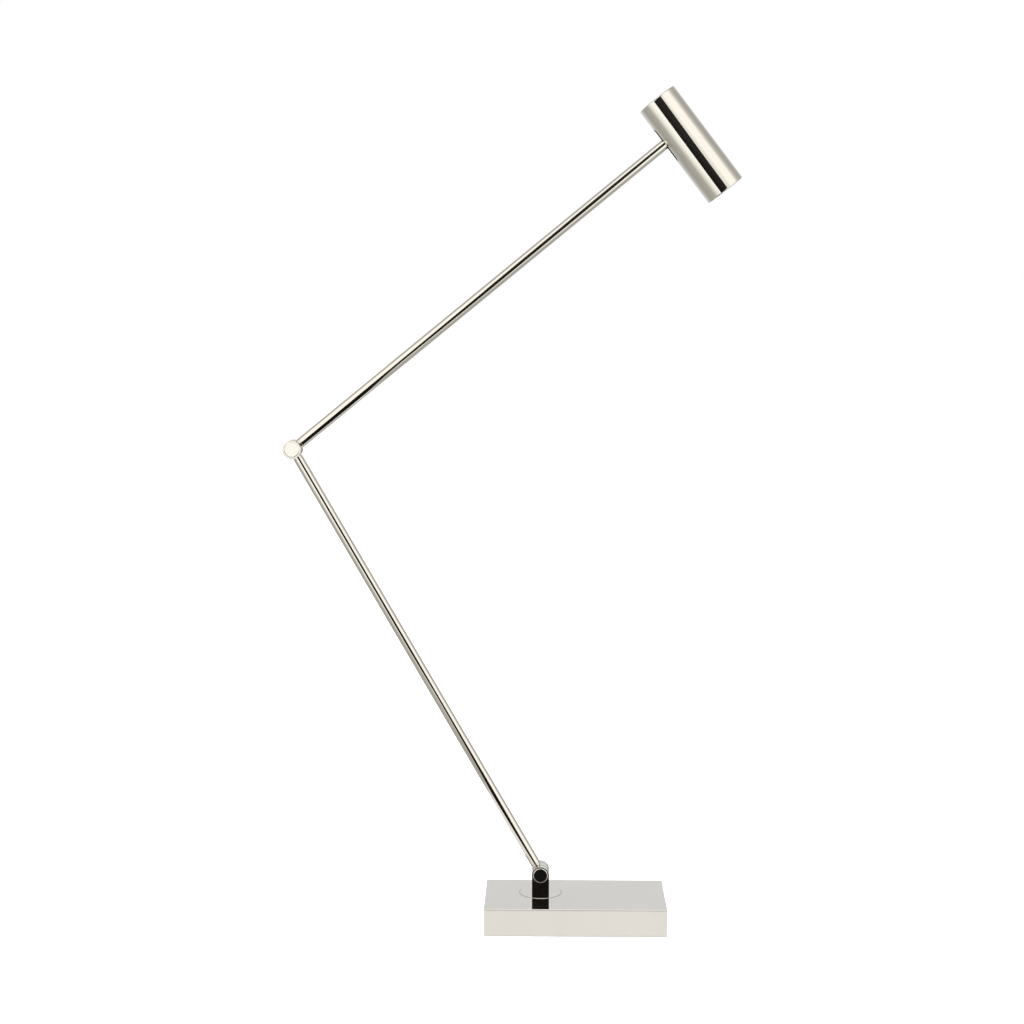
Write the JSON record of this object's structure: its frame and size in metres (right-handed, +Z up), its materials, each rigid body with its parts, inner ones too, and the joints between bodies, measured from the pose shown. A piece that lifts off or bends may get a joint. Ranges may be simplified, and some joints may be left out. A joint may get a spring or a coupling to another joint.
{
  "type": "swing arm desk lamp",
  "caption": "Polished desk lamp: block base with a turntable and clevis post, tube arms joined at a round elbow, and a slotted cylindrical head that tilts.",
  "frame": {"origin": "centre of the pad's underside, on the desk", "axes": "+Z up; +X along the base's long side, towards the side the head points to; -Y is the front, where the pivot caps face"},
  "size_m": [0.4418, 0.0962, 0.8168],
  "materials": {
    "polished_nickel": "mirror polished warm nickel plate",
    "zinc_steel": "zinc plated, satin",
    "nylon": "natural nylon, matt",
    "cable_sheath": "matt black sheath",
    "cast_iron": "as cast, painted dark",
    "rubber_pad": "fine grained non-slip",
    "rubber_gland": "moulded, satin",
    "driver_case": "moulded, fine texture",
    "aluminium": "turned, clear anodised",
    "board_white": "white solder resist",
    "phosphor": "phosphor gel",
    "reflector_white": "white gloss",
    "lens_glass": "frosted"
  },
  "bodies": {
    "base": {"base_shell": "polished_nickel", "base_weight": "cast_iron", "base_plate": "zinc_steel", "base_screws": "zinc_steel", "base_pad": "rubber_pad", "cord_gland": "rubber_gland", "driver": "driver_case", "driver_screws": "zinc_steel", "terminal_block": "nylon", "base_wiring": "cable_sheath", "swivel_bush": "nylon"},
    "turntable": {"turntable_disc": "polished_nickel", "clevis_post": "polished_nickel", "swivel_stem": "zinc_steel", "thrust_washer": "nylon", "swivel_washer": "zinc_steel", "swivel_spring": "zinc_steel", "swivel_nut": "zinc_steel", "swivel_stop_pin": "zinc_steel", "post_screws": "zinc_steel", "post_cable": "cable_sheath", "tilt_stop_pin": "zinc_steel", "post_pin": "zinc_steel", "post_nut": "zinc_steel", "post_washers": "nylon", "post_caps": "polished_nickel"},
    "lower_arm": {"lower_tube": "polished_nickel", "foot_knuckle": "polished_nickel", "lower_elbow_knuckle": "polished_nickel", "lower_grub_screws": "zinc_steel", "lower_cable": "cable_sheath", "foot_cable_loop": "cable_sheath", "elbow_discs": "polished_nickel", "elbow_caps": "polished_nickel", "elbow_pin": "zinc_steel", "elbow_nut": "zinc_steel", "elbow_washers": "nylon", "elbow_stop_pin": "zinc_steel", "elbow_cable_loop": "cable_sheath"},
    "upper_arm": {"upper_tube": "polished_nickel", "upper_elbow_knuckle": "polished_nickel", "head_knuckle": "polished_nickel", "upper_grub_screws": "zinc_steel", "upper_cable": "cable_sheath", "head_cable_loop": "cable_sheath"},
    "head": {"head_shell": "polished_nickel", "head_end_cap": "polished_nickel", "head_cradle": "zinc_steel", "cradle_screws": "zinc_steel", "head_pin": "zinc_steel", "head_nut": "zinc_steel", "head_washers": "nylon", "heat_sink": "aluminium", "led_board": "board_white", "board_screws": "zinc_steel", "led_chip": "phosphor", "led_leads": "cable_sheath", "reflector": "reflector_white", "lens": "lens_glass", "bezel_ring": "polished_nickel"}
  },
  "joints": [
    {"name": "base_swivel", "type": "hinge", "parent": "base", "child": "turntable", "pos_m": [-0.0342, 0.0065, 0.0273], "axis": [0, 0, 1], "range_deg": [-170, 170]},
    {"name": "lower_arm_tilt", "type": "hinge", "parent": "turntable", "child": "lower_arm", "pos_m": [-0.0342, 0.0065, 0.0481], "axis": [0, 1, 0], "range_deg": [-30, 60]},
    {"name": "elbow_fold", "type": "hinge", "parent": "lower_arm", "child": "upper_arm", "pos_m": [-0.27613, 0.0065, 0.47053], "axis": [0, 1, 0], "range_deg": [-120, 33]},
    {"name": "head_tilt", "type": "hinge", "parent": "upper_arm", "child": "head", "pos_m": [0.09831, 0.0065, 0.77483], "axis": [0, 1, 0], "range_deg": [-28, 32]}
  ]
}
